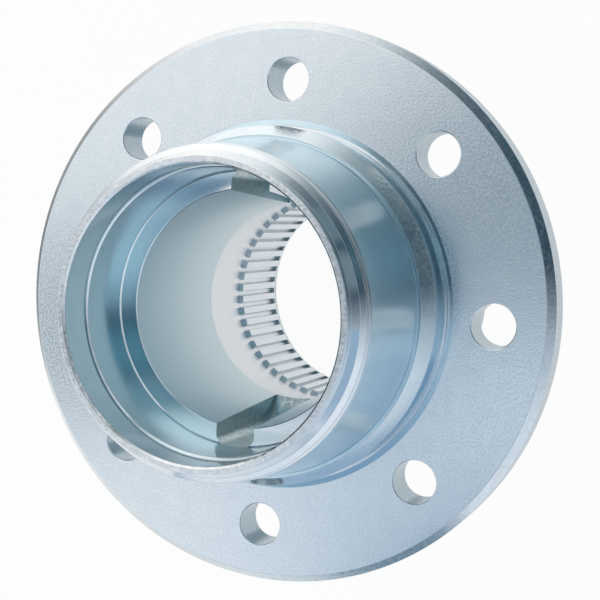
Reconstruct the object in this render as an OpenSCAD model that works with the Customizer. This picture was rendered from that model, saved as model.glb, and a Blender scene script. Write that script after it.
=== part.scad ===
// Wheel hub with an eight-hole flange, a bearing nose and a splined drive end.
// The axis is Z and the nose points up. Z = 0 is the flange face that the brake disc rests on.
// Every bore and register is turned in one revolve, then the holes and notches are cut.

/* [Flange] */
// Outside diameter of the flange
flange_d = 207.5; // [204:0.5:214]
// Thickness of the flange
flange_t = 15.2; // [12:0.2:20]
// Width of the 45 degree bevel round the disc face
flange_bevel = 2.8; // [1:0.1:4]
// Edge break round the wheel face
flange_back_break = 0.8; // [0.3:0.1:2]

/* [Bolt circle] */
// Number of bolt holes
bolt_count = 8; // [5:1:10]
// Diameter of the circle through the bolt hole centres
bolt_pcd = 165.1; // [162:0.1:172]
// Diameter of each bolt hole
bolt_hole_d = 15.9; // [12:0.1:18]
// Countersink depth at both ends of each bolt hole
bolt_hole_break = 0.4; // [0.1:0.1:1]

/* [Disc collar] */
// Diameter of the collar that centres the brake disc
collar_d = 130; // [128:0.1:134]
// Height of the collar's straight wall over the disc face
collar_h = 11.2; // [6:0.2:13]
// Height of the lead-in cone over the straight wall
collar_lead_h = 6.1; // [3:0.1:8]
// Radial width of the lead-in cone
collar_lead_w = 3.6; // [2:0.1:5]
// Radial width of the flat ledge between the cone and the nose barrel
collar_ledge_w = 1.3; // [0.8:0.1:3]
// Width of the relief groove round the foot of the collar
relief_w = 3; // [1.5:0.1:4]
// Width of the flat floor of the relief groove
relief_floor_w = 1; // [0.6:0.1:1.4]
// Depth of the relief groove
relief_depth = 1.3; // [0.6:0.1:2]

/* [Nose] */
// Height of the nose over the disc face
nose_h = 65.7; // [60:0.1:75]
// Radial width of the front face, from the seal bore to the spigot
front_face_w = 2.7; // [2:0.05:4]
// Height of the small spigot
spigot_h = 3.6; // [2:0.1:5]
// Radial width of the steep bevel beside the spigot
lip_inner_w = 1.85; // [1:0.05:2.2]
// Height of the steep bevel beside the spigot
lip_inner_h = 2.8; // [1:0.1:3.5]
// Radial width of the lip's shallow bevel
lip_bevel_w = 1.95; // [1:0.05:3]
// Height of the lip's shallow bevel
lip_bevel_h = 1; // [0.5:0.1:1.5]
// Radial width of the lip's outer bevel, down to the nose barrel
lip_edge_w = 0.6; // [0.3:0.05:1]
// Height of the lip's outer bevel
lip_edge_h = 2; // [1:0.1:3]
// Depth of the fine groove under the lip
lip_groove_depth = 0.45; // [0.2:0.05:0.8]
// Height of the fine groove under the lip
lip_groove_h = 1; // [0.6:0.1:2]

/* [Bearing and seal bores] */
// Diameter of the bearing seat
bearing_bore_d = 96.84; // [94:0.02:99]
// Length of the bearing seat down to its shoulder
bearing_bore_l = 23.4; // [18:0.1:26]
// Radial step out from the bearing seat to the seal bore
seal_step = 0.78; // [0.4:0.01:2]
// Depth of the seal bore from the front face
seal_bore_depth = 14; // [8:0.1:16]
// Lead-in chamfer at the mouth of the seal bore
mouth_chamfer = 0.7; // [0.3:0.1:1.2]
// Radius of the edge between that chamfer and the front face
mouth_edge_r = 0.2; // [0.1:0.05:0.4]
// Radial width of the shoulder that the bearing rests on
shoulder_w = 6.67; // [4:0.01:8]
// Width of each knock-out notch
notch_w = 14.5; // [10:0.5:18]
// Depth of the notch floor behind the wall of the bearing seat
notch_relief = 0.18; // [0.1:0.02:1]
// Radius of the rounded corners along the notch floor
notch_corner_r = 4; // [1:0.5:4.5]
// Radius of the rounded end of each knock-out notch
notch_end_r = 12; // [6:1:16]

/* [Through bore] */
// Diameter at the waist, the narrowest place of the through bore
waist_d = 76.2; // [74:0.1:79]
// Depth of the waist under the disc face
waist_depth = 27.2; // [22:0.1:32]
// Depth of the spline's front end under the disc face
spline_depth = 63.3; // [50:0.1:72]

/* [Spline] */
// Number of spline teeth
spline_teeth = 52; // [36:1:60]
// Diameter of the circle at the bottom of the gaps
spline_major_d = 84.4; // [83.8:0.1:86]
// Height of the teeth
tooth_h = 2; // [1.5:0.1:2.6]
// Width of each gap at the tooth tips
gap_tip_w = 2.2; // [1.6:0.05:2.4]
// Width of each gap at its bottom
gap_root_w = 1.75; // [1.2:0.05:2]
// Length of the spline
spline_l = 35.6; // [25:0.1:42]
// Wall of the spline ring behind the gaps
ring_wall = 4.8; // [3.5:0.1:6]
// Edge chamfer at both ends of the spline ring
ring_chamfer = 0.6; // [0.2:0.1:1.2]

/* [Retaining ring] */
// Thickness of the ring behind the spline
retainer_t = 9.5; // [4:0.1:14]
// Step from the tooth tips out to the ring's bore
retainer_step = 0.4; // [0.2:0.1:1]
// Radial width of the cone that opens the bore towards the hub's end
retainer_flare_w = 2.9; // [1:0.1:4]

/* [Wheel side] */
// Diameter of the pilot that centres the wheel
pilot_d = 121.3; // [118:0.1:126]
// Length of the pilot behind the flange
pilot_l = 14; // [8:0.5:20]
// Length of the cone that runs the wheel onto the pilot
pilot_lead_l = 4; // [2:0.5:8]
// Radial step from the pilot in to the rear barrel
pilot_step = 2.65; // [1:0.05:5]
// Wall of the rear barrel round the inserted rings at the hub's end
rear_wall = 7.5; // [5:0.1:10]
// Edge break at the hub's end
rear_break = 1.5; // [0.5:0.1:2]

/* [Fits and edges] */
// Radial clearance left round the two inserted rings
insert_gap = 0.03; // [0.01:0.01:0.1]
// Radius of the small edge breaks on turned corners
edge_r = 0.4; // [0.1:0.05:0.5]
// Radius of the fillets where turned faces meet in a corner
corner_r = 0.5; // [0.2:0.1:0.8]
// Radius of the fillet where the nose barrel meets the collar
barrel_fillet_r = 2.5; // [1:0.1:3]

/* [Hidden] */
$fn = 180;
hole_facets = 72;
notch_corner_facets = 48;
notch_end_facets = 96;
ZINC = [0.70, 0.78, 0.83];
ZINC_PALE = [0.78, 0.82, 0.83];
ZINC_DARK = [0.47, 0.53, 0.57];
arc_steps = 4;
// Largest share of an edge that one rounded corner may take
corner_share = 0.45;
cut_over = 1;

flange_r = flange_d / 2;
collar_r = collar_d / 2;
collar_lead_r = collar_r - collar_lead_w;
barrel_root_r = collar_lead_r - collar_ledge_w;
relief_r = collar_r + relief_w;
bearing_r = bearing_bore_d / 2;
seal_r = bearing_r + seal_step;
shoulder_r = bearing_r - shoulder_w;
notch_floor_r = bearing_r + notch_relief;
spigot_r = seal_r + front_face_w;
lip_mid_r = spigot_r + lip_inner_w;
lip_corner_r = lip_mid_r + lip_bevel_w;
barrel_tip_r = lip_corner_r + lip_edge_w;
pilot_r = pilot_d / 2;
rear_root_r = pilot_r - pilot_step;
major_r = spline_major_d / 2;
minor_r = major_r - tooth_h;
ring_r = major_r + ring_wall;
retainer_bore_r = minor_r + retainer_step;
retainer_mouth_r = retainer_bore_r + retainer_flare_w;
pocket_r = ring_r + insert_gap;
rear_end_r = ring_r + rear_wall;

collar_top_z = collar_h + collar_lead_h;
spigot_foot_z = nose_h - spigot_h;
lip_mid_z = spigot_foot_z - lip_inner_h;
lip_corner_z = lip_mid_z - lip_bevel_h;
lip_foot_z = lip_corner_z - lip_edge_h;
seal_floor_z = nose_h - seal_bore_depth;
seat_z = seal_floor_z - bearing_bore_l;
spline_z = -spline_depth;
spline_end_z = spline_z - spline_l;
end_z = spline_end_z - retainer_t;
pilot_end_z = -flange_t - pilot_l;

// Points of a small arc that replaces the corner b between a and c.
function unit(v) = v / norm(v);
function arc_corner(a, b, c, r) =
    let (u = unit(a - b), w = unit(c - b),
         half = acos(u * w) / 2,
         side = min(r / tan(half), corner_share * norm(a - b), corner_share * norm(c - b)),
         true_r = side * tan(half),
         centre = b + unit(u + w) * side / cos(half),
         from = b + u * side - centre,
         turn = (180 - 2 * half) * sign(cross(b + u * side - centre, b + w * side - centre)))
    [for (i = [0 : arc_steps])
        centre + true_r * unit([from[0] * cos(turn * i / arc_steps) - from[1] * sin(turn * i / arc_steps),
                                from[0] * sin(turn * i / arc_steps) + from[1] * cos(turn * i / arc_steps)])];

// A closed outline of [radius, height, corner radius] points with its corners rounded.
function rounded(outline) =
    [for (i = [0 : len(outline) - 1])
        let (n = len(outline),
             p = outline[i],
             before = outline[(i + n - 1) % n],
             after = outline[(i + 1) % n])
        each p[2] > 0
            ? arc_corner([before[0], before[1]], [p[0], p[1]], [after[0], after[1]], p[2])
            : [[p[0], p[1]]]];

// Half section of the hub body, from the mouth of the nose round the outside and back up the bore.
hub_outline = concat(nose_outline(), flange_outline(), rear_outline(), bore_outline());

function nose_outline() = [
    [seal_r, nose_h - mouth_chamfer, 0],
    [seal_r + mouth_chamfer, nose_h, mouth_edge_r],
    [spigot_r, nose_h, edge_r],
    [spigot_r, spigot_foot_z, corner_r],
    [lip_mid_r, lip_mid_z, corner_r],
    [lip_corner_r, lip_corner_z, edge_r],
    [barrel_tip_r, lip_foot_z, edge_r],
    [barrel_tip_r - lip_groove_depth, lip_foot_z - lip_groove_h / 2, edge_r],
    [barrel_tip_r, lip_foot_z - lip_groove_h, edge_r],
    [barrel_root_r, collar_top_z, barrel_fillet_r],
    [collar_lead_r, collar_top_z, edge_r],
    [collar_r, collar_h, edge_r]];

function flange_outline() = [
    [collar_r, -relief_depth, corner_r],
    [collar_r + relief_floor_w, -relief_depth, corner_r],
    [relief_r, 0, edge_r],
    [flange_r - flange_bevel, 0, edge_r],
    [flange_r, -flange_bevel, edge_r],
    [flange_r, -flange_t + flange_back_break, 0],
    [flange_r - flange_back_break, -flange_t, 0]];

function rear_outline() = [
    [pilot_r, -flange_t, corner_r],
    [pilot_r, pilot_end_z, edge_r],
    [rear_root_r, pilot_end_z - pilot_lead_l, barrel_fillet_r],
    [rear_end_r, end_z + rear_break, edge_r],
    [rear_end_r - rear_break, end_z, 0]];

function bore_outline() = [
    [pocket_r + ring_chamfer, end_z, 0],
    [pocket_r, end_z + ring_chamfer, 0],
    [pocket_r, spline_z, 0],
    [major_r, spline_z, 0],
    [waist_d / 2, -waist_depth, edge_r],
    [shoulder_r, seat_z, edge_r],
    [bearing_r, seat_z, corner_r],
    [bearing_r, seal_floor_z - seal_step, 0],
    [seal_r, seal_floor_z, 0]];

module bolt_holes() {
    for (i = [0 : bolt_count - 1])
        rotate(90 + i * 360 / bolt_count)
            translate([bolt_pcd / 2, 0, 0]) {
                translate([0, 0, -flange_t - cut_over])
                    cylinder(d = bolt_hole_d, h = flange_t + 2 * cut_over, $fn = hole_facets);
                for (face = [[0, 0], [-flange_t, 180]])
                    translate([0, 0, face[0]])
                        rotate([face[1], 0, 0])
                            translate([0, 0, -bolt_hole_break])
                                cylinder(d1 = bolt_hole_d, d2 = bolt_hole_d + 2 * (bolt_hole_break + cut_over),
                                         h = bolt_hole_break + cut_over, $fn = hole_facets);
            }
}

// One notch: a slot with rounded floor corners, ended by an arc where the cutter ran out at the waist.
module knockout_notch() {
    run_l = seat_z + waist_depth;
    intersection() {
        translate([0, 0, -waist_depth])
            linear_extrude(run_l + cut_over) {
                translate([-notch_w / 2, 0])
                    square([notch_w, notch_floor_r - notch_corner_r]);
                translate([-notch_w / 2 + notch_corner_r, 0])
                    square([notch_w - 2 * notch_corner_r, notch_floor_r]);
                for (side = [-1, 1])
                    translate([side * (notch_w / 2 - notch_corner_r), notch_floor_r - notch_corner_r])
                        circle(notch_corner_r, $fn = notch_corner_facets);
            }
        translate([-notch_w, 0, 0])
            rotate([90, 0, 90])
                linear_extrude(2 * notch_w) {
                    translate([0, -waist_depth + notch_end_r])
                        square([notch_floor_r + cut_over, run_l - notch_end_r + 2 * cut_over]);
                    translate([0, -waist_depth])
                        square([notch_floor_r - notch_end_r, notch_end_r + cut_over]);
                    translate([notch_floor_r - notch_end_r, -waist_depth + notch_end_r])
                        circle(notch_end_r, $fn = notch_end_facets);
                }
    }
}

module hub_body() {
    color(ZINC)
        difference() {
            rotate_extrude() polygon(rounded(hub_outline));
            bolt_holes();
            for (turn = [0, 180])
                rotate(turn) knockout_notch();
        }
}

// Ring with straight-sided internal teeth, pressed in from the hub's rear end.
module spline_ring() {
    color(ZINC_PALE)
        difference() {
            rotate_extrude()
                polygon([[minor_r, spline_end_z], [ring_r - ring_chamfer, spline_end_z],
                         [ring_r, spline_end_z + ring_chamfer], [ring_r, spline_z - ring_chamfer],
                         [ring_r - ring_chamfer, spline_z], [minor_r, spline_z]]);
            for (i = [0 : spline_teeth - 1])
                rotate(90 + (i + 0.5) * 360 / spline_teeth)
                    translate([0, 0, spline_end_z - cut_over])
                        linear_extrude(spline_l + 2 * cut_over)
                            polygon([[minor_r - cut_over, -gap_tip_w / 2], [minor_r, -gap_tip_w / 2],
                                     [major_r, -gap_root_w / 2], [major_r, gap_root_w / 2],
                                     [minor_r, gap_tip_w / 2], [minor_r - cut_over, gap_tip_w / 2]]);
        }
}

// Ring that closes the rear ends of the gaps and opens as a cone for the shaft.
module retaining_ring() {
    color(ZINC_DARK)
        rotate_extrude()
            polygon([[retainer_mouth_r, end_z], [ring_r - ring_chamfer, end_z],
                     [ring_r, end_z + ring_chamfer], [ring_r, spline_end_z - ring_chamfer],
                     [ring_r - ring_chamfer, spline_end_z], [retainer_bore_r, spline_end_z]]);
}

hub_body();
spline_ring();
retaining_ring();
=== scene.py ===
# %% [markdown]
# A bare wheel hub in bright zinc plate. The real one is a forging that a lathe turned all over, with bolt
# holes round its flange, two milled notches inside the nose and a splined ring pressed in at the far end. So
# nearly every surface here is a turned one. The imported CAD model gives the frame: each piece below is made
# again over its own CAD node, at the same size and place, with edges soft enough to catch the light as
# plated steel does.

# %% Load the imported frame
import math

import bmesh
import bpy
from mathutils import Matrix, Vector


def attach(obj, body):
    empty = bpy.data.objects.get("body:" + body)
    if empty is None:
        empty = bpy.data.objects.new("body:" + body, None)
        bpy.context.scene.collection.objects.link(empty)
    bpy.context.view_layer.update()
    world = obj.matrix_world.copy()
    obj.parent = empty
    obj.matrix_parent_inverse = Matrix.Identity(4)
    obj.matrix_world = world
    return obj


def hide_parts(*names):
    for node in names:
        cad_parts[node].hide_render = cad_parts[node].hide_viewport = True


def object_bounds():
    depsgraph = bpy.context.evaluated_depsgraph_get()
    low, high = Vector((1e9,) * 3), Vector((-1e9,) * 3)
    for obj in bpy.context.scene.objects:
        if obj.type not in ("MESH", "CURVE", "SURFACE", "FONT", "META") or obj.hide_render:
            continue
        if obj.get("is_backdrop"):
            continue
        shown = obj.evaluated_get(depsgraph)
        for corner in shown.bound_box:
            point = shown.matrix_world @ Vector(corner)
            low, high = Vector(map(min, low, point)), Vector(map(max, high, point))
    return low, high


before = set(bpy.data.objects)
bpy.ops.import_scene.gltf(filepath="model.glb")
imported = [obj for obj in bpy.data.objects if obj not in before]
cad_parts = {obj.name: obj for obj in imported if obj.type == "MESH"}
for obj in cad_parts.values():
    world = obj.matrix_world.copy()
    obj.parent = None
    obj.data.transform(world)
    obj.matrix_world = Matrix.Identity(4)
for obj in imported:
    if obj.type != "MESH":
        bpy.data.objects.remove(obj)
cad_low, cad_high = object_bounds()
print("nodes:", sorted(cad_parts))
print("box mm:", [round(1000 * (b - a), 1) for a, b in zip(cad_low, cad_high)])

# %% [markdown]
# The camera comes first, because every comparison depends on it. Its place was found by fitting the hub's
# own circles, such as the rim, the bolt holes and the bores, to the photograph, which fixes the lens as
# well.

# %% Camera
def put_in_scene(name, data):
    thing = bpy.data.objects.new(name, data)
    bpy.context.scene.collection.objects.link(thing)
    return thing


camera_data = bpy.data.cameras.new("hub_camera")
camera_data.sensor_width = 36
camera_data.lens = 79.309
camera_data.clip_start, camera_data.clip_end = 0.01, 60
camera = put_in_scene("hub_camera", camera_data)
camera.location = (0.18336, 0.04160, 0.45014)
camera.rotation_euler = [math.radians(a) for a in (-3.1626, 21.2903, 4.0160)]
bpy.context.scene.camera = camera
print("camera lens mm:", camera_data.lens)

# %% [markdown]
# All sizes are the hub's real ones in millimetres, the same as in the CAD source. Z is the axis, the nose
# points up, and Z = 0 is the flange face that the brake disc rests on. A name that ends in _r is a radius,
# one in _z or _h a height, one in _w a width, and a break is a small chamfer. Meshes are in metres, so points
# are multiplied by `mm` as they go in.

# %% Sizes in millimetres
mm = 0.001
flange_r, flange_t, flange_bevel, flange_back_break = 103.75, 15.2, 2.8, 0.8
bolt_circle_r, bolt_hole_r, bolt_count, hole_break = 82.55, 7.95, 8, 0.5
collar_r, collar_h, collar_top_z, lead_r = 65.0, 11.2, 17.3, 61.4
relief_w, relief_floor_w, relief_depth = 3.0, 1.0, 1.3
nose_h, mouth_break, spigot_r, spigot_foot_z = 65.7, 0.7, 51.9, 62.1
lip_mid_r, lip_mid_z, lip_corner_r, lip_corner_z = 53.75, 59.3, 55.7, 58.3
barrel_tip_r, barrel_root_r, lip_foot_z, lip_groove_depth, lip_groove_w = 56.3, 60.1, 56.3, 0.45, 1.0
seal_r, seal_floor_z, seal_break = 49.2, 51.7, 0.5
bearing_r, seat_z, seat_break, shoulder_r, shoulder_break = 48.42, 28.3, 0.5, 41.75, 0.35
waist_r, waist_z, waist_blend = 38.1, -27.2, 3.0
major_r, minor_r, spline_z, spline_end_z, end_z = 42.2, 40.2, -63.3, -98.9, -108.4
ring_r, pocket_r, ring_chamfer = 47.0, 47.03, 0.6
retainer_step, retainer_mouth_w = 0.4, 3.3
pilot_r, pilot_end_z, pilot_lead_l = 60.65, -29.2, 4.0
rear_root_r, rear_blend, rear_end_r, rear_break = 58.0, 2.5, 54.5, 1.5
notch_count, notch_w, notch_floor_r, notch_corner_r, notch_end_r = 2, 14.5, 48.6, 4.0, 12.0
tooth_count, gap_tip_w, gap_root_w = 52, 2.2, 1.75
print("overall height mm:", nose_h - end_z)

# %% [markdown]
# A turned part is one outline swung round its axis. No lathe tool leaves a knife edge, so each corner of the
# outline carries the radius of its small edge break or fillet, and this helper swaps the corner for an arc.
# That thin arc is what draws the bright lines along the hub's edges.

# %% Helper: round the corners of an outline
def rounded(outline, closed=True, step=15):
    """An outline of corners (x, y, radius) as points; an arc has one about every `step` degrees."""
    points = []
    for i, (x, y, radius) in enumerate(outline):
        corner = Vector((x, y))
        if radius == 0 or (not closed and i in (0, len(outline) - 1)):
            points.append(corner)
            continue
        before = Vector(outline[i - 1][:2]) - corner
        after = Vector(outline[(i + 1) % len(outline)][:2]) - corner
        half = before.angle(after) / 2
        side = min(radius / math.tan(half), 0.45 * before.length, 0.45 * after.length)
        true_radius = side * math.tan(half)
        middle = (before.normalized() + after.normalized()).normalized()
        centre = corner + middle * side / math.cos(half)
        start = corner + before.normalized() * side - centre
        end = corner + after.normalized() * side - centre
        turn = math.atan2(start.x * end.y - start.y * end.x, start.dot(end))
        count = max(2, round(math.degrees(abs(turn)) / step))
        for k in range(count + 1):
            c, s = math.cos(turn * k / count), math.sin(turn * k / count)
            spot = Vector((start.x * c - start.y * s, start.x * s + start.y * c))
            points.append(centre + spot.normalized() * true_radius)
    return [(p.x, p.y) for p in points]


# %% [markdown]
# The hub's outline runs from the mouth of the nose down the outside to the end, and back up the bore. Its
# third numbers are the radii of the corners. The breaks in the bore are half a millimetre wide or less, and
# still they draw the fine light circles that one sees inside the nose.

# %% The hub's outline
edge, fillet, fine = 0.4, 0.5, 0.1
outside = [
    (seal_r, nose_h - mouth_break, 0.25), (seal_r + mouth_break, nose_h, 0.25),
    (spigot_r, nose_h, edge), (spigot_r, spigot_foot_z, fillet),
    (lip_mid_r, lip_mid_z, fillet), (lip_corner_r, lip_corner_z, edge), (barrel_tip_r, lip_foot_z, edge),
    (barrel_tip_r - lip_groove_depth, lip_foot_z - lip_groove_w / 2, 0.3),
    (barrel_tip_r, lip_foot_z - lip_groove_w, edge),
    (barrel_root_r, collar_top_z, fillet), (lead_r, collar_top_z, 0.25), (collar_r, collar_h, edge),
    (collar_r, -relief_depth, fillet), (collar_r + relief_floor_w, -relief_depth, fillet),
    (collar_r + relief_w, 0, edge), (flange_r - flange_bevel, 0, edge), (flange_r, -flange_bevel, edge),
    (flange_r, -flange_t + flange_back_break, 0.3), (flange_r - flange_back_break, -flange_t, 0.3),
    (pilot_r, -flange_t, fillet), (pilot_r, pilot_end_z, edge),
    (rear_root_r, pilot_end_z - pilot_lead_l, rear_blend),
    (rear_end_r, end_z + rear_break, edge), (rear_end_r - rear_break, end_z, 0.3)]
inside = [
    (pocket_r + ring_chamfer, end_z, 0.15), (pocket_r, end_z + ring_chamfer, 0), (pocket_r, spline_z, 0),
    (major_r, spline_z, 0.2), (waist_r, waist_z, waist_blend),
    (shoulder_r, seat_z - shoulder_break, fine), (shoulder_r + shoulder_break, seat_z, fine),
    (bearing_r - seat_break, seat_z, 0.15), (bearing_r, seat_z + seat_break, 0.15),
    (bearing_r, seal_floor_z - seal_break, fine), (bearing_r + seal_break, seal_floor_z, fine),
    (seal_r, seal_floor_z, 0.05)]
hub_outline = rounded(outside + inside)
print("outline points:", len(hub_outline))

# %% [markdown]
# Swinging the outline in steps of one degree keeps the rim round to a hundredth of a millimetre. The faces
# are shaded smooth, and edges sharper than a given angle are marked, so that flat faces stay flat.

# %% Helpers: a turned mesh, and smooth shading with sharp edges
def grid_faces(rows, columns, rows_close=False, columns_close=False):
    """Faces between the neighbours in a grid of points that is stored row by row."""
    return [(j * columns + i, j * columns + (i + 1) % columns,
             (j + 1) % rows * columns + (i + 1) % columns, (j + 1) % rows * columns + i)
            for j in range(rows if rows_close else rows - 1)
            for i in range(columns if columns_close else columns - 1)]


def turned(name, outline, steps):
    """A closed outline of (radius, height) swung round the axis."""
    mesh = bpy.data.meshes.new(name)
    points = []
    for j in range(steps):
        c, s = math.cos(math.tau * j / steps), math.sin(math.tau * j / steps)
        points += [(r * c * mm, r * s * mm, z * mm) for r, z in outline]
    mesh.from_pydata(points, [], grid_faces(steps, len(outline), True, True))
    return mesh


def soften(mesh, sharp_degrees=40):
    work = bmesh.new()
    work.from_mesh(mesh)
    bmesh.ops.recalc_face_normals(work, faces=work.faces)
    for face in work.faces:
        face.smooth = True
    for join in work.edges:
        join.smooth = len(join.link_faces) == 2 and join.calc_face_angle(0) < math.radians(sharp_degrees)
    work.to_mesh(mesh)
    work.free()


def keep_flats_flat(piece):
    piece.modifiers.new("flat_faces_stay_flat", "WEIGHTED_NORMAL").keep_sharp = True


hub_mesh = turned("hub_turned", hub_outline, steps=360)
soften(hub_mesh)
print("turned hub faces:", len(hub_mesh.polygons))

# %% [markdown]
# The holes and notches are cut as on a drilling machine: one cutter each, repeated round the axis. The
# hole's cutter flares at both faces of the flange, which leaves the rounded edge of a deburred hole. It is
# turned like the hub, and its points on the axis are merged into one at either end.

# %% Cutter for a bolt hole
overshoot, lift = 1.5, 0.02
flare = [(bolt_hole_r + hole_break * (1 - math.sin(a)), hole_break * (math.cos(a) - 1) + lift)
         for a in [math.radians(degrees) for degrees in range(0, 91, 18)]]
hole_outline = ([(0.0, overshoot), (bolt_hole_r + hole_break, overshoot)] + flare
                + [(r, -flange_t - z) for r, z in reversed(flare)]
                + [(bolt_hole_r + hole_break, -flange_t - overshoot), (0.0, -flange_t - overshoot)])
hole_mesh = turned("hole_cutter", hole_outline, steps=72)
work = bmesh.new()
work.from_mesh(hole_mesh)
bmesh.ops.remove_doubles(work, verts=work.verts, dist=1e-7)
bmesh.ops.dissolve_degenerate(work, dist=1e-8, edges=work.edges)
work.to_mesh(hole_mesh)
work.free()
soften(hole_mesh)
print("hole cutter faces:", len(hole_mesh.polygons))

# %% [markdown]
# A notch is a slot with rounded floor corners. Towards the waist its floor rises in an arc and runs out,
# because the milling cutter was round. The cutter is lofted through level sections that follow this arc.

# %% Cutter for a knock-out notch
def notch_section(floor, z):
    half = notch_w / 2
    corners = [(-half, 0, 0), (-half, floor, notch_corner_r), (half, floor, notch_corner_r), (half, 0, 0)]
    return [(x * mm, y * mm, z * mm) for x, y in rounded(corners, closed=False)]


arc_steps, above_seat = 12, 1.0
levels = []
for k in range(arc_steps + 1):
    a = math.radians(90 * k / arc_steps)
    levels.append((notch_floor_r - notch_end_r + notch_end_r * math.sin(a),
                   waist_z + notch_end_r * (1 - math.cos(a))))
levels.append((notch_floor_r, seat_z + above_seat))
sections = [notch_section(floor, z) for floor, z in levels]
count = len(sections[0])
last = (len(sections) - 1) * count
notch_mesh = bpy.data.meshes.new("notch_cutter")
notch_mesh.from_pydata([p for section in sections for p in section], [],
                       grid_faces(len(sections), count, columns_close=True)
                       + [tuple(range(count)), tuple(range(last, last + count))])
soften(notch_mesh)
print("notch cutter faces:", len(notch_mesh.polygons))

# %% [markdown]
# Geometry Nodes put the cutters round the axis and subtract them. A hub with ten holes, or another bolt
# circle, would only need other values in the tree's named inputs. `add` makes a node and fills its sockets,
# with a value or with a link, and `run_tree` turns what a tree makes into a plain mesh.

# %% Helpers: build a tree with named inputs, and run it
def new_tree(name, inputs):
    tree = bpy.data.node_groups.new(name, "GeometryNodeTree")
    tree.interface.new_socket("Geometry", in_out="INPUT", socket_type="NodeSocketGeometry")
    for label, kind in inputs:
        tree.interface.new_socket(label, in_out="INPUT", socket_type=kind)
    tree.interface.new_socket("Geometry", in_out="OUTPUT", socket_type="NodeSocketGeometry")
    return tree, tree.nodes.new("NodeGroupInput"), tree.nodes.new("NodeGroupOutput")


def add(tree, kind, links=(), **settings):
    node = tree.nodes.new(kind)
    for key, value in settings.items():
        setattr(node, key, value)
    for socket, value in links:
        if isinstance(value, bpy.types.NodeSocket):
            tree.links.new(value, node.inputs[socket])
        else:
            node.inputs[socket].default_value = value
    return node


def calculate(tree, operation, *values):
    return add(tree, "ShaderNodeMath", list(enumerate(values)), operation=operation).outputs[0]


def run_tree(name, mesh, tree, values):
    host = put_in_scene(name, mesh)
    modifier = host.modifiers.new(tree.name, "NODES")
    modifier.node_group = tree
    for item in tree.interface.items_tree:
        if item.item_type == "SOCKET" and item.in_out == "INPUT" and item.name in values:
            modifier[item.identifier] = values[item.name]
    seen = host.evaluated_get(bpy.context.evaluated_depsgraph_get())
    result = bpy.data.meshes.new_from_object(seen)
    host.modifiers.remove(modifier)
    host.data = result
    result.name = name
    result.materials.clear()
    result.materials.append(values["Finish"])
    for face in result.polygons:
        face.material_index = 0
    return host


# %% Tree: cutters round the axis
def ring_of(tree, count, radius, geometry):
    """Copies of one shape round the axis, the first one moved out by the radius towards +Y."""
    spots = add(tree, "GeometryNodeMeshLine", [("Count", count), ("Offset", (0, 0, 0))])
    index = add(tree, "GeometryNodeInputIndex").outputs[0]
    angle = calculate(tree, "MULTIPLY", calculate(tree, "DIVIDE", index, count), math.tau)
    turn = add(tree, "ShaderNodeCombineXYZ", [("Z", angle)])
    arm = add(tree, "ShaderNodeCombineXYZ", [("Y", radius)])
    place = add(tree, "ShaderNodeVectorRotate", [("Vector", arm.outputs[0]), ("Angle", angle)],
                rotation_type="Z_AXIS")
    moved = add(tree, "GeometryNodeSetPosition", [
        ("Geometry", spots.outputs[0]), ("Position", place.outputs[0])])
    copies = add(tree, "GeometryNodeInstanceOnPoints", [
        ("Points", moved.outputs[0]), ("Instance", geometry), ("Rotation", turn.outputs[0])])
    return add(tree, "GeometryNodeRealizeInstances", [("Geometry", copies.outputs[0])]).outputs[0]


cut_tree, cut_in, cut_out = new_tree("cut_round_the_axis", [
    ("Bolt holes", "NodeSocketInt"), ("Bolt circle radius", "NodeSocketFloat"),
    ("Hole cutter", "NodeSocketObject"), ("Notches", "NodeSocketInt"),
    ("Notch cutter", "NodeSocketObject"), ("Finish", "NodeSocketMaterial")])
hole_shape, notch_shape = [
    add(cut_tree, "GeometryNodeObjectInfo", [("Object", cut_in.outputs[label])]).outputs["Geometry"]
    for label in ("Hole cutter", "Notch cutter")]
holes = ring_of(cut_tree, cut_in.outputs["Bolt holes"], cut_in.outputs["Bolt circle radius"], hole_shape)
notches = ring_of(cut_tree, cut_in.outputs["Notches"], 0.0, notch_shape)
cutters = add(cut_tree, "GeometryNodeJoinGeometry")
cut_tree.links.new(holes, cutters.inputs[0])
cut_tree.links.new(notches, cutters.inputs[0])
cut_pair = [("Mesh 1", cut_in.outputs["Geometry"]), ("Mesh 2", cutters.outputs[0])]
cut = add(cut_tree, "GeometryNodeMeshBoolean", cut_pair, operation="DIFFERENCE", solver="EXACT")
plain = add(cut_tree, "GeometryNodeRealizeInstances", [("Geometry", cut.outputs["Mesh"])])
finish = add(cut_tree, "GeometryNodeSetMaterial", [
    ("Geometry", plain.outputs[0]), ("Material", cut_in.outputs["Finish"])])
cut_tree.links.new(finish.outputs[0], cut_out.inputs[0])
print("tree inputs:", [i.name for i in cut_tree.interface.items_tree if i.in_out == "INPUT"])

# %% [markdown]
# Zinc plate is a mirror that has been dulled. It has no body colour of its own under the shine: what one
# sees is the room, slightly blue, broken up by the grain of the plate and by the rings that the lathe tool
# left. So the finish is fully metallic, and its detail is in the bump and the roughness. The grain is noise
# at the size of the real spots. The rings are noise along one line only, the way along the outline, so they
# run round the axis.

# %% Helper: one zinc finish
def blend(tree, factor, first, second):
    """A colour between two, by the Mix node's colour sockets, which are numbers 0, 6 and 7."""
    node = add(tree, "ShaderNodeMix", [(0, factor), (6, first), (7, second)], data_type="RGBA")
    return node.outputs[2]


def spread(tree, value, low, high, smooth=False, come_from=(0.3, 0.7)):
    """Take the value from one range to another; most noise lies between 0.3 and 0.7."""
    node = add(tree, "ShaderNodeMapRange", [
        ("Value", value), ("From Min", come_from[0]), ("From Max", come_from[1]),
        ("To Min", low), ("To Max", high)], interpolation_type="SMOOTHSTEP" if smooth else "LINEAR")
    return node.outputs["Result"]


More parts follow.
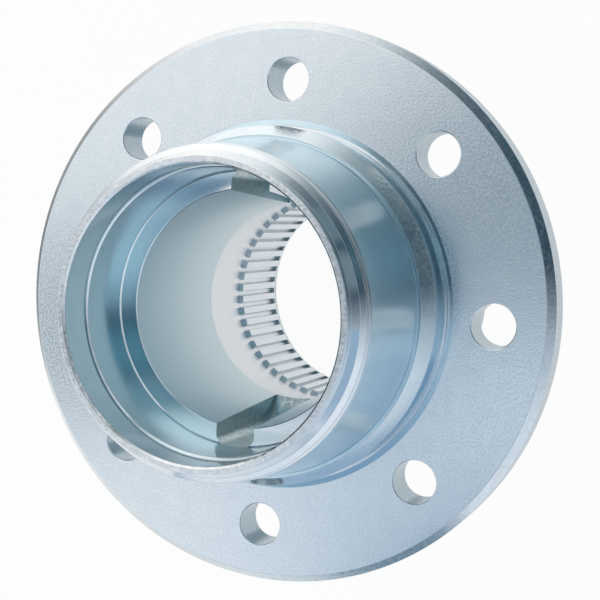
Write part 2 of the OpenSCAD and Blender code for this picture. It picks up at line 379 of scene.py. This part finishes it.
def bump(tree, height, depth_mm, under=()):
    """A bump as deep as given, on top of another bump when `under` links one to Normal."""
    links = [("Strength", 1.0), ("Distance", depth_mm * mm), ("Height", height), *under]
    return add(tree, "ShaderNodeBump", links).outputs[0]


def zinc(name, tone, tone_2, roughness, grain_mm=0.8, grain_depth=0.002, rings_depth=0.002, mottle_mm=7.0,
         drawn=0.6, shade_heights=None):
    """One finish. Its colour goes from tone to tone_2 over the mottle, or as painted shade between the two
    shade_heights.
    Roughness is (plain, in a speck of grain), depths are in millimetres, and drawn is how strongly the
    turning marks draw out the highlights."""
    material = bpy.data.materials.new(name)
    material.use_nodes = True
    tree = material.node_tree
    shader = tree.nodes["Principled BSDF"]
    shader.inputs["Metallic"].default_value = 1.0
    place = add(tree, "ShaderNodeTexCoord").outputs["Object"]
    parts = add(tree, "ShaderNodeSeparateXYZ", [(0, place)])
    flat = add(tree, "ShaderNodeCombineXYZ", [("X", parts.outputs["X"]), ("Y", parts.outputs["Y"])])
    radius = add(tree, "ShaderNodeVectorMath", [(0, flat.outputs[0])], operation="LENGTH")
    along = calculate(tree, "SUBTRACT", radius.outputs["Value"], parts.outputs["Z"])
    mottle = add(tree, "ShaderNodeTexNoise", [
        ("Vector", place), ("Scale", 1 / (mottle_mm * mm)), ("Detail", 4.0)]).outputs["Fac"]
    grain = add(tree, "ShaderNodeTexNoise", [
        ("Vector", place), ("Scale", 1 / (grain_mm * mm)), ("Detail", 1.0)]).outputs["Fac"]
    rings_mm = 1.1
    across = [("W", along), ("Scale", 1 / (rings_mm * mm)), ("Detail", 3.0), ("Roughness", 0.7)]
    rings = add(tree, "ShaderNodeTexNoise", across, noise_dimensions="1D").outputs["Fac"]
    # A height fade is painted shade that changes the tone with height; the mottle is the plate's own random
    # tone.
    if shade_heights:
        mottle_and_painted_shade = spread(tree, parts.outputs["Z"], 0.0, 1.0, True, (shade_heights[0] * mm, shade_heights[1] * mm))
    else:
        mottle_and_painted_shade = spread(tree, mottle, 0.0, 1.0)
    tree.links.new(blend(tree, mottle_and_painted_shade, (*tone, 1), (*tone_2, 1)), shader.inputs["Base Color"])
    dulled = spread(tree, grain, roughness[0], roughness[1], True, (0.4, 0.65))
    tree.links.new(dulled, shader.inputs["Roughness"])
    ringed = bump(tree, rings, rings_depth)
    grained = bump(tree, grain, grain_depth, under=[("Normal", ringed)])
    tree.links.new(grained, shader.inputs["Normal"])
    back_y = calculate(tree, "MULTIPLY", parts.outputs["Y"], -1.0)
    around = add(tree, "ShaderNodeCombineXYZ", [("X", back_y), ("Y", parts.outputs["X"])])
    tree.links.new(around.outputs[0], shader.inputs["Tangent"])
    shader.inputs["Anisotropic"].default_value = drawn
    shader.inputs["Anisotropic Rotation"].default_value = 0.25
    return material


# %% [markdown]
# One plating bath, and still each surface looks different, because each had its own tool before it was
# plated. The flange, its rim, the nose and the cone over the collar are speckled. The barrel was turned
# fine, so its highlights are drawn out most. The bores are darker and bluer, which is painted shade, and
# the bearing bore is darker still above 44 mm; the waist is painted lighter towards the far opening. The
# drilled holes, the rim's outer wall and the rear barrel are darker too, with painted shade for the shaded
# floor under the flange.

# %% The finishes
zinc_face = zinc("zinc_face", (0.90, 0.95, 0.98), (0.86, 0.91, 0.95), (0.15, 0.25),
                 grain_depth=0.019, rings_depth=0.001, drawn=0.3)
zinc_turned = zinc("zinc_turned", (0.70, 0.84, 0.90), (0.66, 0.80, 0.87), (0.24, 0.25),
                   rings_depth=0.003, drawn=0.85)
zinc_bright = zinc("zinc_bright", (0.95, 0.97, 0.98), (0.90, 0.93, 0.95), (0.10, 0.14),
                   grain_depth=0.003, rings_depth=0.003, mottle_mm=3.0, drawn=0.4)
zinc_lead = zinc("zinc_lead", (0.96, 0.98, 0.99), (0.90, 0.94, 0.96), (0.12, 0.20),
                 grain_mm=0.9, grain_depth=0.030, rings_depth=0.003, mottle_mm=2.0, drawn=0.4)
zinc_rim = zinc("zinc_rim", (0.88, 0.90, 0.92), (0.78, 0.82, 0.84), (0.12, 0.20),
                grain_mm=1.2, grain_depth=0.030, rings_depth=0.003, mottle_mm=2.0, drawn=0.4)
zinc_nose = zinc("zinc_nose", (0.96, 0.97, 0.98), (0.78, 0.81, 0.83), (0.16, 0.26),
                 grain_mm=1.4, grain_depth=0.040, mottle_mm=2.5, drawn=0.3)
zinc_edge = zinc("zinc_edge", (0.90, 0.96, 0.99), (0.88, 0.94, 0.98), (0.20, 0.22),
                 rings_depth=0.0, mottle_mm=3.0, drawn=0.0)
zinc_collar = zinc("zinc_collar", (0.70, 0.84, 0.90), (0.66, 0.80, 0.87), (0.13, 0.16),
                   grain_depth=0.003, drawn=0.5)
# Painted shade: the seal and bearing bores get a dark blue tone for the shade inside the nose, and the
# bearing bore is darker still above 44 mm.
zinc_seal_painted_shade = zinc("zinc_seal_painted_shade", (0.40, 0.58, 0.66), (0.37, 0.54, 0.62), (0.16, 0.20))
zinc_bore_painted_shade = zinc("zinc_bore_painted_shade", (0.36, 0.58, 0.66), (0.31, 0.49, 0.58), (0.16, 0.20), shade_heights=(34, 44))
# Painted light and shade: the waist is lighter near the far opening and darker up towards the shoulder.
zinc_waist_painted_shade = zinc("zinc_waist_painted_shade", (0.74, 0.86, 0.90), (0.46, 0.62, 0.70), (0.30, 0.34),
                  grain_depth=0.003, rings_depth=0.003, shade_heights=(waist_z, seat_z + 6))
zinc_back = zinc("zinc_back", (0.94, 0.97, 0.99), (0.91, 0.94, 0.97), (0.30, 0.34),
                 grain_depth=0.004, rings_depth=0.004)
# Painted shade: the drilled holes, the rim's outer wall and the rear barrel get a dark tone for the shaded
# floor they mirror under the flange.
zinc_hole_painted_shade = zinc("zinc_hole_painted_shade", (0.42, 0.51, 0.56), (0.38, 0.47, 0.52), (0.20, 0.30),
                 grain_depth=0.004, mottle_mm=3.0, drawn=0.0)
zinc_notch = zinc("zinc_notch", (0.80, 0.90, 0.91), (0.58, 0.70, 0.72), (0.35, 0.50),
                  grain_mm=1.2, grain_depth=0.08, rings_depth=0.0, mottle_mm=2.5, drawn=0.0)
zinc_teeth = zinc("zinc_teeth", (0.88, 0.93, 0.96), (0.83, 0.88, 0.91), (0.34, 0.40),
                  grain_mm=0.7, grain_depth=0.004, rings_depth=0.0, mottle_mm=5.0, drawn=0.0)
zinc_ring = zinc("zinc_ring", (0.64, 0.72, 0.76), (0.58, 0.66, 0.70), (0.34, 0.42),
                 grain_mm=0.7, grain_depth=0.004, rings_depth=0.001, mottle_mm=5.0, drawn=0.0)
print("finishes:", [m.name for m in bpy.data.materials if m.name.startswith("zinc_")])

# %% [markdown]
# Now the hub itself: the turned mesh goes through the tree, and the result is a plain mesh again. It carries
# all the finishes that its surfaces use, the flange's first.

# %% The hub body
hole_cutter = bpy.data.objects.new("hole_cutter", hole_mesh)
notch_cutter = bpy.data.objects.new("notch_cutter", notch_mesh)
hub = run_tree("hub_body_plated", hub_mesh, cut_tree, {
    "Bolt holes": bolt_count, "Bolt circle radius": bolt_circle_r * mm, "Hole cutter": hole_cutter,
    "Notches": notch_count, "Notch cutter": notch_cutter, "Finish": zinc_face})
bpy.data.objects.remove(hole_cutter)
bpy.data.objects.remove(notch_cutter)
soften(hub.data, sharp_degrees=35)
for plate in (zinc_turned, zinc_bright, zinc_lead, zinc_rim, zinc_nose, zinc_edge, zinc_collar, zinc_seal_painted_shade,
              zinc_bore_painted_shade, zinc_waist_painted_shade, zinc_hole_painted_shade, zinc_back, zinc_notch):
    hub.data.materials.append(plate)
print("finishes on the hub:", len(hub.data.materials))

# %% [markdown]
# The finishes follow the machining, and those of the bores, the holes and the walls under the flange also
# carry painted shade, so each face gets its finish by where its middle lies and how it is turned. The first
# rule that fits holds: the notches come first, then the bore with its mouth, and last the outside. The small
# numbers beside the sizes leave room for the rounded edges.

# %% Which finish lies where
def finish_at(x, y, z, normal):
    r = math.hypot(x, y)
    near_notch = abs(x) < notch_w / 2 + 0.01 and waist_r - 2 < r < notch_floor_r + 0.3
    if near_notch and waist_z - 1 < z < seat_z - 0.05:
        if abs(normal.x) > 0.2 or abs(normal.z) > 0.2 or r > shoulder_r + 0.15:
            return zinc_notch
    if z < waist_z and r < ring_r + 1:
        return zinc_back
    if z > nose_h - 0.05 and abs(normal.z) > 0.9:
        return zinc_nose
    # The waist gets painted light and shade.
    if r < shoulder_r + 0.1 and z < seat_z - shoulder_break:
        return zinc_waist_painted_shade
    if 0.3 < normal.z < 0.95 and r < seal_r + 1:
        return zinc_edge if z < nose_h - 0.9 else zinc_nose
    on_shoulder = z < seat_z + 0.1 and r < bearing_r
    if on_shoulder or abs(z - seal_floor_z) < 0.1 and r < seal_r + 0.01:
        return zinc_bright
    # The seal and bearing bores get painted shade.
    if r < seal_r + 0.05:
        return zinc_seal_painted_shade if z > seal_floor_z else zinc_bore_painted_shade
    # The rear barrel, the rim's outer wall and the holes get painted shade.
    if z < -flange_t - 0.1 and r > ring_r + 1:
        return zinc_hole_painted_shade
    on_rim_wall = r > flange_r - 0.05 and z < -flange_bevel - 0.3
    if on_rim_wall or abs(r - bolt_circle_r) < bolt_hole_r + 1.5 and -flange_t < z < -0.45:
        return zinc_hole_painted_shade
    if r > flange_r - flange_bevel - 0.2 and -flange_bevel - 0.3 < z < -0.01:
        return zinc_rim
    if r > lead_r - 0.3 and collar_h - 0.3 < z < collar_top_z - 0.05:
        return zinc_lead
    if r < collar_r + 0.1 and 0.3 < z < collar_h or abs(z - collar_top_z) < 0.05:
        return zinc_collar
    if z > lip_foot_z - lip_groove_w - 0.3:
        return zinc_bright
    disc_face = abs(normal.z) > 0.99 and z > -0.02
    if r < collar_r + relief_w + 0.2 and -relief_depth - 0.05 < z < 0.3 and not disc_face:
        return zinc_bright
    return zinc_turned if r < collar_r + 0.1 and z > 0 else zinc_face


slots = {material.name: k for k, material in enumerate(hub.data.materials)}
for face in hub.data.polygons:
    x, y, z = (value / mm for value in face.center)
    face.material_index = slots[finish_at(x, y, z, face.normal).name]
keep_flats_flat(hub)
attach(hub, "root")
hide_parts("hub_body")
print("hub faces:", len(hub.data.polygons))

# %% [markdown]
# The splined ring has 52 teeth. One cell, from the middle of one gap to the middle of the next, is drawn
# with its small rounded edges. Its line is repeated along the ring, and drawn back a little at both ends,
# which rounds the teeth's end edges. Geometry Nodes turn the cell into the whole ring and weld the seams.

# %% One tooth cell
pitch = math.tau / tooth_count
tip_radius, root_radius = 0.3, 0.4


def on_gap(radius, half_width, side):
    """A point beside a gap, whose middle lies half a pitch to that side of the tooth."""
    c, s = math.cos(side * pitch / 2), math.sin(side * pitch / 2)
    return radius * s - side * half_width * c, radius * c + side * half_width * s


def tooth_line(inset):
    """The toothed edge of the cell, drawn back into the metal by the inset."""
    middle = major_r * math.sin(pitch / 2)
    height = major_r * math.cos(pitch / 2)
    corners = [(-middle, height, 0), (*on_gap(major_r, gap_root_w / 2, -1), root_radius),
               (*on_gap(minor_r, gap_tip_w / 2, -1), tip_radius),
               (*on_gap(minor_r, gap_tip_w / 2, 1), tip_radius),
               (*on_gap(major_r, gap_root_w / 2, 1), root_radius), (middle, height, 0)]
    line = rounded(corners, closed=False, step=30)
    moved = []
    for i, (x, y) in enumerate(line):
        before, after = line[max(i - 1, 0)], line[min(i + 1, len(line) - 1)]
        normal = Vector((after[1] - before[1], before[0] - after[0])).normalized()
        if normal.y > 0:
            normal = -normal
        if i in (0, len(line) - 1):
            normal = -Vector((x, y)).normalized()
        moved.append((x - normal.x * inset, y - normal.y * inset))
    return moved


cell_count = len(tooth_line(0))


def arc_line(radius):
    angles = [pitch * (k / (cell_count - 1) - 0.5) for k in range(cell_count)]
    return [(radius * math.sin(a), radius * math.cos(a)) for a in angles]


round_off, round_mid = 0.25, 0.07
loops = [(arc_line(ring_r - ring_chamfer), spline_z), (tooth_line(round_off), spline_z),
         (tooth_line(round_mid), spline_z - round_mid), (tooth_line(0), spline_z - round_off),
         (tooth_line(0), spline_end_z + round_off), (tooth_line(round_mid), spline_end_z + round_mid),
         (tooth_line(round_off), spline_end_z), (arc_line(ring_r - ring_chamfer), spline_end_z),
         (arc_line(ring_r), spline_end_z + ring_chamfer), (arc_line(ring_r), spline_z - ring_chamfer)]
cell_mesh = bpy.data.meshes.new("tooth_cell")
cell_mesh.from_pydata([(x * mm, y * mm, z * mm) for line, z in loops for x, y in line], [],
                      grid_faces(len(loops), cell_count, rows_close=True))
print("points across one tooth:", cell_count)

# %% Tree: one cell becomes the ring
weld_distance = 0.00001
ring_tree, ring_in, ring_out = new_tree("teeth_round_the_axis", [
    ("Teeth", "NodeSocketInt"), ("Weld distance", "NodeSocketFloat"), ("Finish", "NodeSocketMaterial")])
plain = ring_of(ring_tree, ring_in.outputs["Teeth"], 0.0, ring_in.outputs["Geometry"])
welded = add(ring_tree, "GeometryNodeMergeByDistance", [
    ("Geometry", plain), ("Distance", ring_in.outputs["Weld distance"])])
finish = add(ring_tree, "GeometryNodeSetMaterial", [
    ("Geometry", welded.outputs[0]), ("Material", ring_in.outputs["Finish"])])
ring_tree.links.new(finish.outputs[0], ring_out.inputs[0])
teeth = run_tree("spline_ring_plated", cell_mesh, ring_tree, {
    "Teeth": tooth_count, "Weld distance": weld_distance, "Finish": zinc_teeth})
soften(teeth.data, sharp_degrees=38)
keep_flats_flat(teeth)
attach(teeth, "root")
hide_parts("spline_ring")
print("spline ring faces:", len(teeth.data.polygons))

# %% [markdown]
# Behind the teeth sits a plain ring. Its flat face closes the rear ends of the gaps, and its bore opens in a
# cone. It is turned as the hub is.

# %% The retaining ring
retainer_outline = rounded([
    (minor_r + retainer_step, spline_end_z, 0.15), (minor_r + retainer_mouth_w, end_z, 0.2),
    (ring_r - ring_chamfer, end_z, fine), (ring_r, end_z + ring_chamfer, fine),
    (ring_r, spline_end_z - ring_chamfer, fine), (ring_r - ring_chamfer, spline_end_z, fine)])
retainer = put_in_scene("retaining_ring_plated", turned("retaining_ring", retainer_outline, steps=240))
soften(retainer.data)
retainer.data.materials.append(zinc_ring)
keep_flats_flat(retainer)
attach(retainer, "root")
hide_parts("retaining_ring")
print("retaining ring faces:", len(retainer.data.polygons))

# %% [markdown]
# The photograph has a plain white ground. The floor is white where the camera or a reflection looks at it,
# and a small share of it is lit as usual, which keeps the hub's soft shadow.

# %% Floor
floor_half, below_hub = 0.5, 0.0001
white_to_camera, white_to_metal = 0.96, 0.78
floor_z = end_z * mm - below_hub
floor_mesh = bpy.data.meshes.new("floor")
floor_mesh.from_pydata([(-floor_half, -floor_half, floor_z), (floor_half, -floor_half, floor_z),
                        (floor_half, floor_half, floor_z), (-floor_half, floor_half, floor_z)],
                       [], [(0, 1, 2, 3)])
floor = put_in_scene("floor", floor_mesh)
floor_paint = bpy.data.materials.new("floor_paint")
floor_paint.use_nodes = True
tree = floor_paint.node_tree
lit = tree.nodes["Principled BSDF"]
lit.inputs["Base Color"].default_value = (0.9, 0.91, 0.92, 1)
lit.inputs["Roughness"].default_value = 0.9
rays = add(tree, "ShaderNodeLightPath").outputs
mirrored = calculate(tree, "MAXIMUM", rays["Is Glossy Ray"], rays["Is Transmission Ray"])
share = calculate(tree, "MULTIPLY", mirrored, white_to_metal)
share = calculate(tree, "MULTIPLY_ADD", rays["Is Camera Ray"], white_to_camera, share)
white = add(tree, "ShaderNodeEmission", [("Color", (1, 1, 1, 1)), ("Strength", 1.0)])
mixed = add(tree, "ShaderNodeMixShader", [(0, share), (1, lit.outputs[0]), (2, white.outputs[0])])
tree.links.new(mixed.outputs[0], tree.nodes["Material Output"].inputs["Surface"])
floor_mesh.materials.append(floor_paint)
floor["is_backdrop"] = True
print("floor at mm:", round(floor_z * 1000, 2))

# %% [markdown]
# Polished metal shows its surroundings, so the studio matters as much as the finish. The room is one strip
# of soft light round the axis: a bright screen behind on the left, pale walls, and a tall black card on the
# right, which draws the dark bands on the rim and the nose. One colour ramp round the axis describes all of
# it.

# %% The strip of light round the axis
strip = [  # degrees round the axis, colour
    (-180, (0.82, 0.85, 0.87)), (-150, (0.80, 0.84, 0.88)), (-126, (0.76, 0.80, 0.84)),
    (-89, (0.68, 0.76, 0.84)), (-55, (0.74, 0.81, 0.88)), (-30, (0.70, 0.79, 0.87)),
    (-9, (0.42, 0.50, 0.58)), (2, (0.18, 0.23, 0.28)), (13, (0.03, 0.06, 0.09)), (44, (0.04, 0.08, 0.11)),
    (57, (0.07, 0.11, 0.14)), (68, (0.13, 0.18, 0.21)), (76, (0.24, 0.29, 0.32)), (86, (0.54, 0.61, 0.64)),
    (94, (0.82, 0.86, 0.88)), (104, (1.02, 1.03, 1.03)), (119, (1.10, 1.09, 1.08)),
    (135, (1.08, 1.07, 1.06)), (148, (0.92, 0.93, 0.94)), (160, (0.84, 0.87, 0.89)),
    (180, (0.82, 0.85, 0.87))]


def round_the_axis(tree, direction, stops):
    parts = add(tree, "ShaderNodeSeparateXYZ", [(0, direction)])
    angle = calculate(tree, "ARCTAN2", parts.outputs["Y"], parts.outputs["X"])
    share = add(tree, "ShaderNodeMapRange", [
        ("Value", angle), ("From Min", -math.pi), ("From Max", math.pi)])
    ramp = add(tree, "ShaderNodeValToRGB", [("Fac", share.outputs["Result"])])
    elements = ramp.color_ramp.elements
    while len(elements) < len(stops):
        elements.new(1.0)
    for element, (degrees, value) in zip(elements, stops):
        element.position = (degrees + 180) / 360
        element.color = (*value, 1)
    return ramp.outputs["Color"]


world = bpy.data.worlds.new("studio")
bpy.context.scene.world = world
world.use_nodes = True
tree = world.node_tree
tree.nodes.clear()
look = add(tree, "ShaderNodeTexCoord").outputs["Generated"]
colour = round_the_axis(tree, look, strip)
print("stops in the strip:", len(strip))

# %% [markdown]
# Flat faces look up close to the axis, where all the colours of the strip would meet, so the sky there has
# soft patches of its own, most of them darker and bluer. A row of small light patches makes a tube lamp,
# which draws thin bright lines on the narrow breaks inside the nose. The last patches are level with the
# hub, where its bevels look. Each patch covers what came before it. The camera itself sees plain white.

# %% The patches in the sky
sky_patches = [  # from the axis and round it in degrees, inner and outer size in degrees, colour
    (8, 50, 6, 18, (0.02, 0.06, 0.10)), (12, -24, 3, 10, (0.14, 0.21, 0.30)),
    (16, 100, 3, 9, (0.16, 0.25, 0.30)), (11, -176, 3, 12, (0.24, 0.31, 0.37)),
    (19, -139, 5, 11, (0.64, 0.74, 0.83)), (20, -166, 3, 6, (0.26, 0.30, 0.35)),
    (24, 32, 4, 14, (0.22, 0.40, 0.49)), (27, 68, 3, 10, (0.36, 0.49, 0.55)),
    (31, -168, 2, 5.5, (0.20, 0.27, 0.33)), (23, -115, 4, 11, (0.22, 0.31, 0.43)),
    (17, -74, 4, 12, (0.38, 0.47, 0.58))]
tube_light = (0.90, 0.94, 0.97)
tube_lamp = [(64, degrees, 2.5, 7, tube_light) for degrees in range(-20, 41, 12)]
tube_lamp += [(65, 52, 2.5, 7, tube_light), (66, 64, 3, 8, tube_light)]
level_patches = [
    (96, -82, 10, 27, (0.16, 0.25, 0.33)), (92, 170, 8, 30, (0.50, 0.55, 0.59)),
    (96, 24, 4, 14, (0.15, 0.22, 0.26)), (96, 50, 4, 14, (0.13, 0.20, 0.24))]
patches = sky_patches + tube_lamp + level_patches
for *degrees, shade in patches:
    tilt, turn, inner, outer = (math.radians(number) for number in degrees)
    middle = (math.sin(tilt) * math.cos(turn), math.sin(tilt) * math.sin(turn), math.cos(tilt))
    facing = add(tree, "ShaderNodeVectorMath", [(0, look), (1, middle)], operation="DOT_PRODUCT")
    amount = spread(tree, facing.outputs["Value"], 0.0, 1.0, True, (math.cos(outer), math.cos(inner)))
    colour = blend(tree, amount, colour, (*shade, 1))
rays = add(tree, "ShaderNodeLightPath").outputs
colour = blend(tree, rays["Is Camera Ray"], colour, (1, 1, 1, 1))
glow = add(tree, "ShaderNodeBackground", [("Color", colour), ("Strength", 1.0)])
add(tree, "ShaderNodeOutputWorld", [("Surface", glow.outputs[0])])
bpy.context.scene.view_settings.view_transform = "Standard"
print("patches in the sky:", len(patches))

# %% [markdown]
# Walls and steep bevels look down at the floor. Round the hub, from 130 mm on, a card lies there with a
# strip of colours of its own: dark on the right again and on the left, light behind and pale blue in front.
# It only shows in reflections: the camera doesn't see it, and it casts no shadow, as if it had been cut from
# the picture.

# %% The card on the floor
floor_strip = [  # degrees round the axis, colour
    (-180, (0.20, 0.22, 0.24)), (-172, (0.26, 0.28, 0.30)), (-165, (0.46, 0.49, 0.50)),
    (-156, (0.92, 0.93, 0.93)), (-147, (0.90, 0.90, 0.90)), (-124, (0.74, 0.77, 0.79)),
    (-111, (0.78, 0.82, 0.84)), (-100, (0.66, 0.74, 0.79)), (-67, (0.56, 0.64, 0.72)),
    (-26, (0.54, 0.64, 0.73)), (-5, (0.30, 0.39, 0.47)), (5, (0.13, 0.18, 0.23)), (14, (0.05, 0.08, 0.11)),
    (37, (0.05, 0.09, 0.12)), (57, (0.11, 0.17, 0.20)), (77, (0.34, 0.43, 0.47)), (88, (0.66, 0.72, 0.74)),
    (98, (0.86, 0.90, 0.91)), (115, (1.02, 1.02, 1.02)), (131, (0.98, 0.97, 0.97)),
    (141, (0.72, 0.72, 0.72)), (154, (0.38, 0.39, 0.39)), (166, (0.32, 0.34, 0.34)),
    (175, (0.22, 0.23, 0.24)), (180, (0.20, 0.22, 0.24))]
card_inner, card_outer, card_steps, card_lift = 0.13, 0.72, 96, 0.00005
fade_in = (0.18, 0.31)


def reflected_card(name, mesh):
    """A card that only shows in reflections, and the empty node tree of its paint."""
    card = put_in_scene(name, mesh)
    paint = bpy.data.materials.new(name + "_paint")
    paint.use_nodes = True
    paint.node_tree.nodes.clear()
    mesh.materials.append(paint)
    for ray in ("camera", "diffuse", "transmission", "volume_scatter", "shadow"):
        setattr(card, "visible_" + ray, False)
    return card, paint.node_tree


circle = [math.tau * k / card_steps for k in range(card_steps)]
card_mesh = bpy.data.meshes.new("black_card")
card_z = floor_z + card_lift
card_mesh.from_pydata(
    [(r * math.cos(a), r * math.sin(a), card_z) for r in (card_outer, card_inner) for a in circle],
    [], grid_faces(2, card_steps, columns_close=True))
black_card, tree = reflected_card("black_card", card_mesh)
place = add(tree, "ShaderNodeTexCoord").outputs["Object"]
distance = add(tree, "ShaderNodeVectorMath", [(0, place)], operation="LENGTH").outputs["Value"]
cover = spread(tree, distance, 0.0, 1.0, True, fade_in)
shade = round_the_axis(tree, place, floor_strip)
dark = add(tree, "ShaderNodeEmission", [("Color", shade), ("Strength", 1.0)])
clear = add(tree, "ShaderNodeBsdfTransparent")
mixed = add(tree, "ShaderNodeMixShader", [(0, cover), (1, clear.outputs[0]), (2, dark.outputs[0])])
add(tree, "ShaderNodeOutputMaterial", [("Surface", mixed.outputs[0])])
black_card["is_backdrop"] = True
print("card from and to, in mm:", round(card_inner / mm), round(card_outer / mm))

# %% [markdown]
# Three blue-grey cards stand low beside the hub, one behind the other. The flange mirrors them into the
# barrel and the collar, while the lip above looks over their top edges and stays bright. Each is a strip of
# a cylinder round the axis, and hides from the camera as the black card does.

# %% The blue cards
def standing_card(name, radius, first, last, low, high, colour):
    """Radius and heights in metres, from the first to the last of its degrees round the axis."""
    bend = [math.radians(degrees) for degrees in range(first, last + 1, 4)]
    mesh = bpy.data.meshes.new(name)
    mesh.from_pydata([(radius * math.cos(a), radius * math.sin(a), z) for z in (low, high) for a in bend],
                     [], grid_faces(2, len(bend)))
    card, tree = reflected_card(name, mesh)
    glow = add(tree, "ShaderNodeEmission", [("Color", (*colour, 1)), ("Strength", 1.0)])
    add(tree, "ShaderNodeOutputMaterial", [("Surface", glow.outputs[0])])
    card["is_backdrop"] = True
    return card


cards = [standing_card("blue_card_far", 0.2, -116, -4, 0.03, 0.105, (0.28, 0.41, 0.56)),
         standing_card("blue_card_middle", 0.15, -80, -20, 0.062, 0.1, (0.25, 0.36, 0.50)),
         standing_card("blue_card_near", 0.106, -68, -16, 0.057, 0.088, (0.26, 0.36, 0.48))]
print("blue cards:", [card.name for card in cards])

# %% [markdown]
# The last lines print the difference between the CAD box and the finished model's box, which should agree.

# %% Finish
seen_low, seen_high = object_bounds()
differences = [1000 * (b - a) for a, b in zip([*cad_low, *cad_high], [*seen_low, *seen_high])]
print("size difference mm:", [round(difference, 2) for difference in differences])
